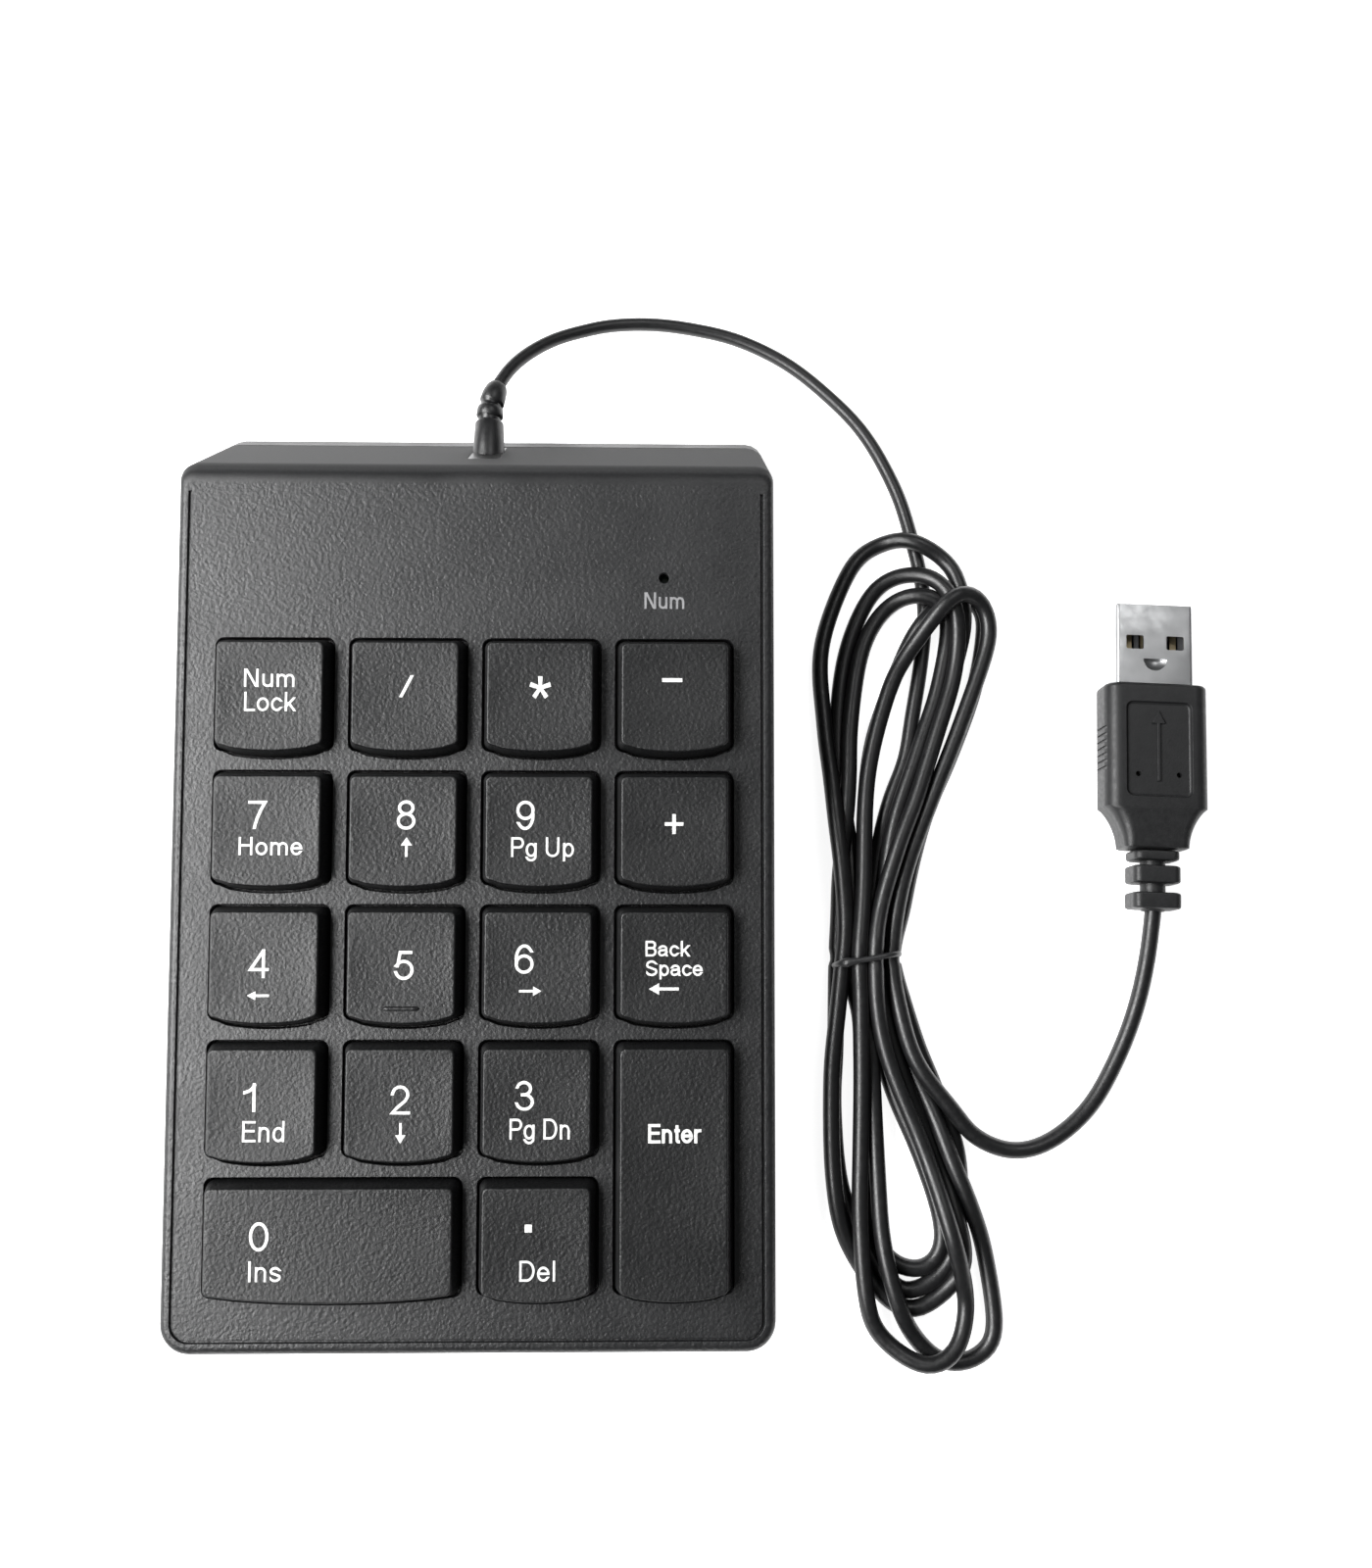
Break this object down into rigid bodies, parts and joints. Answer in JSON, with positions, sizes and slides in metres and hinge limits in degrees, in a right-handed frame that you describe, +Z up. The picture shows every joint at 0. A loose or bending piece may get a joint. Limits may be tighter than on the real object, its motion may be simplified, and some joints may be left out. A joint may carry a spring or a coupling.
{
  "type": "numeric keypad",
  "caption": "Wedge-shaped wired numeric keypad with low square keys, two double-size keys, an indicator hole, and a tied cord ending in a USB-A plug.",
  "frame": {"origin": "on the desk, under the middle of the housing", "axes": "+X to the user's right, +Y away from the user towards the cord outlet, +Z up"},
  "size_m": [0.1548, 0.1664, 0.025],
  "materials": {
    "top_cover": "black ABS with a fine spark-eroded texture",
    "bottom_case": "black ABS with a fine spark-eroded texture",
    "keys": "black ABS, finely textured, white printed legends",
    "domes": "milky silicone rubber",
    "film": "polyester film",
    "circuit": "green solder resist",
    "steel": "zinc plated",
    "chip": "moulded epoxy",
    "feet": "soft black rubber",
    "pad": "soft silicone strip",
    "header": "white nylon",
    "led": "tinted clear epoxy",
    "cord": "flexible black PVC, satin",
    "tie": "black PVC-coated wire",
    "plug": "black overmoulded PVC",
    "shell": "nickel-plated steel",
    "tongue": "white thermoplastic",
    "gold": "gold plated"
  },
  "bodies": {
    "housing": {"board_screw_left": "steel", "board_screw_right": "steel", "bottom_case": "bottom_case", "cable_tie": "tie", "case_screw_front_left": "steel", "case_screw_front_right": "steel", "case_screw_rear_left": "steel", "case_screw_rear_right": "steel", "clamp_bar": "steel", "controller_board": "circuit", "controller_chip": "chip", "cord_hank": "cord", "cord_header": "header", "cord_lead": "cord", "cord_plug_lead": "cord", "dome_sheet": "domes", "foot_front_left": "feet", "foot_front_right": "feet", "foot_rear_left": "feet", "foot_rear_right": "feet", "indicator_led": "led", "membrane_lower": "film", "membrane_spacer": "film", "membrane_upper": "film", "plug_body": "plug", "plug_contact_1": "gold", "plug_contact_2": "gold", "plug_contact_3": "gold", "plug_contact_4": "gold", "plug_shell": "shell", "plug_tongue": "tongue", "pressure_pad": "pad", "strain_relief": "cord", "top_cover": "top_cover"},
    "key_num_lock": {"key_num_lock": "keys"},
    "key_divide": {"key_divide": "keys"},
    "key_multiply": {"key_multiply": "keys"},
    "key_minus": {"key_minus": "keys"},
    "key_7": {"key_7": "keys"},
    "key_8": {"key_8": "keys"},
    "key_9": {"key_9": "keys"},
    "key_plus": {"key_plus": "keys"},
    "key_4": {"key_4": "keys"},
    "key_5": {"key_5": "keys"},
    "key_6": {"key_6": "keys"},
    "key_backspace": {"key_backspace": "keys"},
    "key_1": {"key_1": "keys"},
    "key_2": {"key_2": "keys"},
    "key_3": {"key_3": "keys"},
    "key_enter": {"key_enter": "keys"},
    "key_0": {"key_0": "keys"},
    "key_decimal": {"key_decimal": "keys"},
    "stabiliser_bar_enter": {"stabiliser_bar_enter": "steel"},
    "stabiliser_bar_zero": {"stabiliser_bar_zero": "steel"}
  },
  "joints": [
    {"name": "key_num_lock_press", "type": "slide", "parent": "housing", "child": "key_num_lock", "axis": [0, 0.0872, -0.9962], "range_m": [0, 0.0022], "stiffness_N_per_m": 240, "springref_m": -0.0004, "deforming": ["dome_sheet"]},
    {"name": "key_divide_press", "type": "slide", "parent": "housing", "child": "key_divide", "axis": [0, 0.0872, -0.9962], "range_m": [0, 0.0022], "stiffness_N_per_m": 240, "springref_m": -0.0004, "deforming": ["dome_sheet"]},
    {"name": "key_multiply_press", "type": "slide", "parent": "housing", "child": "key_multiply", "axis": [0, 0.0872, -0.9962], "range_m": [0, 0.0022], "stiffness_N_per_m": 240, "springref_m": -0.0004, "deforming": ["dome_sheet"]},
    {"name": "key_minus_press", "type": "slide", "parent": "housing", "child": "key_minus", "axis": [0, 0.0872, -0.9962], "range_m": [0, 0.0022], "stiffness_N_per_m": 240, "springref_m": -0.0004, "deforming": ["dome_sheet"]},
    {"name": "key_7_press", "type": "slide", "parent": "housing", "child": "key_7", "axis": [0, 0.0872, -0.9962], "range_m": [0, 0.0022], "stiffness_N_per_m": 240, "springref_m": -0.0004, "deforming": ["dome_sheet"]},
    {"name": "key_8_press", "type": "slide", "parent": "housing", "child": "key_8", "axis": [0, 0.0872, -0.9962], "range_m": [0, 0.0022], "stiffness_N_per_m": 240, "springref_m": -0.0004, "deforming": ["dome_sheet"]},
    {"name": "key_9_press", "type": "slide", "parent": "housing", "child": "key_9", "axis": [0, 0.0872, -0.9962], "range_m": [0, 0.0022], "stiffness_N_per_m": 240, "springref_m": -0.0004, "deforming": ["dome_sheet"]},
    {"name": "key_plus_press", "type": "slide", "parent": "housing", "child": "key_plus", "axis": [0, 0.0872, -0.9962], "range_m": [0, 0.0022], "stiffness_N_per_m": 240, "springref_m": -0.0004, "deforming": ["dome_sheet"]},
    {"name": "key_4_press", "type": "slide", "parent": "housing", "child": "key_4", "axis": [0, 0.0872, -0.9962], "range_m": [0, 0.0022], "stiffness_N_per_m": 240, "springref_m": -0.0004, "deforming": ["dome_sheet"]},
    {"name": "key_5_press", "type": "slide", "parent": "housing", "child": "key_5", "axis": [0, 0.0872, -0.9962], "range_m": [0, 0.0022], "stiffness_N_per_m": 240, "springref_m": -0.0004, "deforming": ["dome_sheet"]},
    {"name": "key_6_press", "type": "slide", "parent": "housing", "child": "key_6", "axis": [0, 0.0872, -0.9962], "range_m": [0, 0.0022], "stiffness_N_per_m": 240, "springref_m": -0.0004, "deforming": ["dome_sheet"]},
    {"name": "key_backspace_press", "type": "slide", "parent": "housing", "child": "key_backspace", "axis": [0, 0.0872, -0.9962], "range_m": [0, 0.0022], "stiffness_N_per_m": 240, "springref_m": -0.0004, "deforming": ["dome_sheet"]},
    {"name": "key_1_press", "type": "slide", "parent": "housing", "child": "key_1", "axis": [0, 0.0872, -0.9962], "range_m": [0, 0.0022], "stiffness_N_per_m": 240, "springref_m": -0.0004, "deforming": ["dome_sheet"]},
    {"name": "key_2_press", "type": "slide", "parent": "housing", "child": "key_2", "axis": [0, 0.0872, -0.9962], "range_m": [0, 0.0022], "stiffness_N_per_m": 240, "springref_m": -0.0004, "deforming": ["dome_sheet"]},
    {"name": "key_3_press", "type": "slide", "parent": "housing", "child": "key_3", "axis": [0, 0.0872, -0.9962], "range_m": [0, 0.0022], "stiffness_N_per_m": 240, "springref_m": -0.0004, "deforming": ["dome_sheet"]},
    {"name": "key_enter_press", "type": "slide", "parent": "housing", "child": "key_enter", "axis": [0, 0.0872, -0.9962], "range_m": [0, 0.0022], "stiffness_N_per_m": 240, "springref_m": -0.0004, "deforming": ["dome_sheet"]},
    {"name": "key_0_press", "type": "slide", "parent": "housing", "child": "key_0", "axis": [0, 0.0872, -0.9962], "range_m": [0, 0.0022], "stiffness_N_per_m": 240, "springref_m": -0.0004, "deforming": ["dome_sheet"]},
    {"name": "key_decimal_press", "type": "slide", "parent": "housing", "child": "key_decimal", "axis": [0, 0.0872, -0.9962], "range_m": [0, 0.0022], "stiffness_N_per_m": 240, "springref_m": -0.0004, "deforming": ["dome_sheet"]},
    {"name": "stabiliser_bar_zero_turn", "type": "hinge", "parent": "housing", "child": "stabiliser_bar_zero", "pos_m": [-0.01905, -0.04795, 0.00981], "axis": [1, 0, 0], "range_deg": [0, 23]},
    {"name": "stabiliser_bar_enter_turn", "type": "hinge", "parent": "housing", "child": "stabiliser_bar_enter", "pos_m": [0.03358, -0.04345, 0.0102], "axis": [0, -0.9962, -0.0872], "range_deg": [0, 23]}
  ],
  "couplings": [
    {"joint": "stabiliser_bar_zero_turn", "follows": "key_0_press", "rad_per_m": 174.53},
    {"joint": "stabiliser_bar_enter_turn", "follows": "key_enter_press", "rad_per_m": 174.53}
  ]
}
